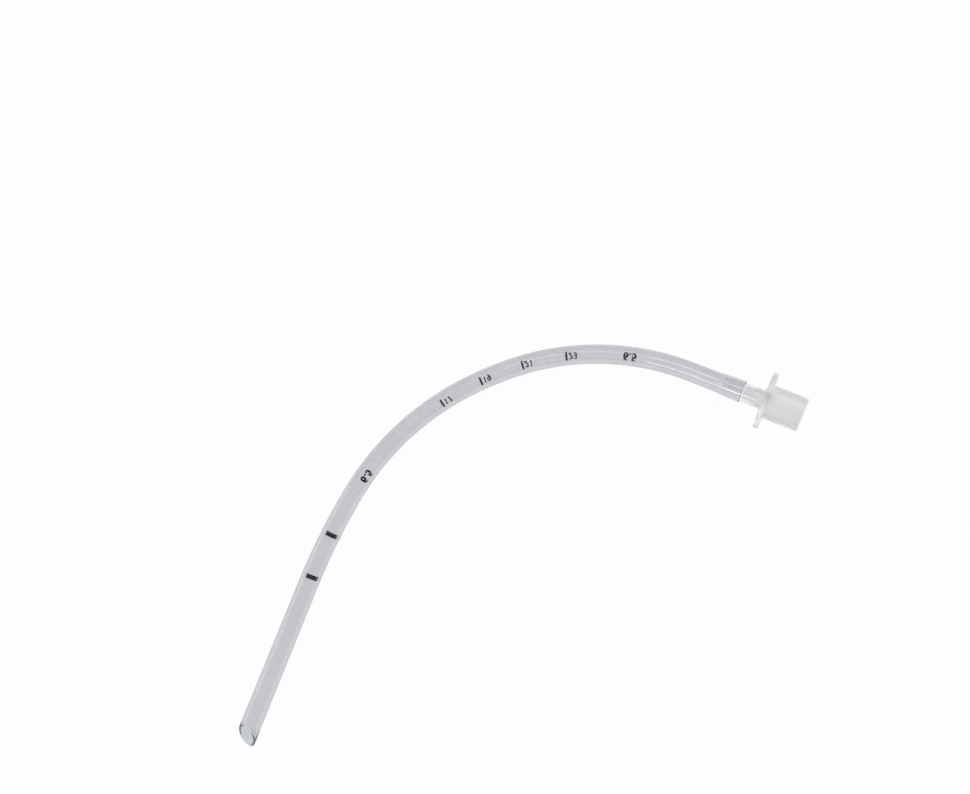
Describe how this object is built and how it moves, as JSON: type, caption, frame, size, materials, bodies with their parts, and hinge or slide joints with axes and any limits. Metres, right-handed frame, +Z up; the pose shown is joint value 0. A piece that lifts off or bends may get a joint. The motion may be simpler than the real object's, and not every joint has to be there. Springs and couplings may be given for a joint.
{
  "type": "endotracheal tube",
  "caption": "Curved clear uncuffed airway tube with a bevelled rounded tip, and a translucent 15 mm connector with an oblong eared flange pushed into its other end.",
  "frame": {"origin": "centre of the bounding box in X and Y, on the floor that the part lies on", "axes": "+Y runs from the tip along the straight distal run towards the arch, +X points roughly out of the 15 mm cone, +Z is up from the floor"},
  "size_m": [0.1822, 0.2208, 0.0164],
  "materials": {
    "clear_tube": "clear soft PVC with a faint grey and lilac tint, glossy",
    "connector_plastic": "natural translucent polypropylene, satin"
  },
  "bodies": {
    "root": {"tube_shaft": "clear_tube", "connector": "connector_plastic"}
  },
  "joints": []
}
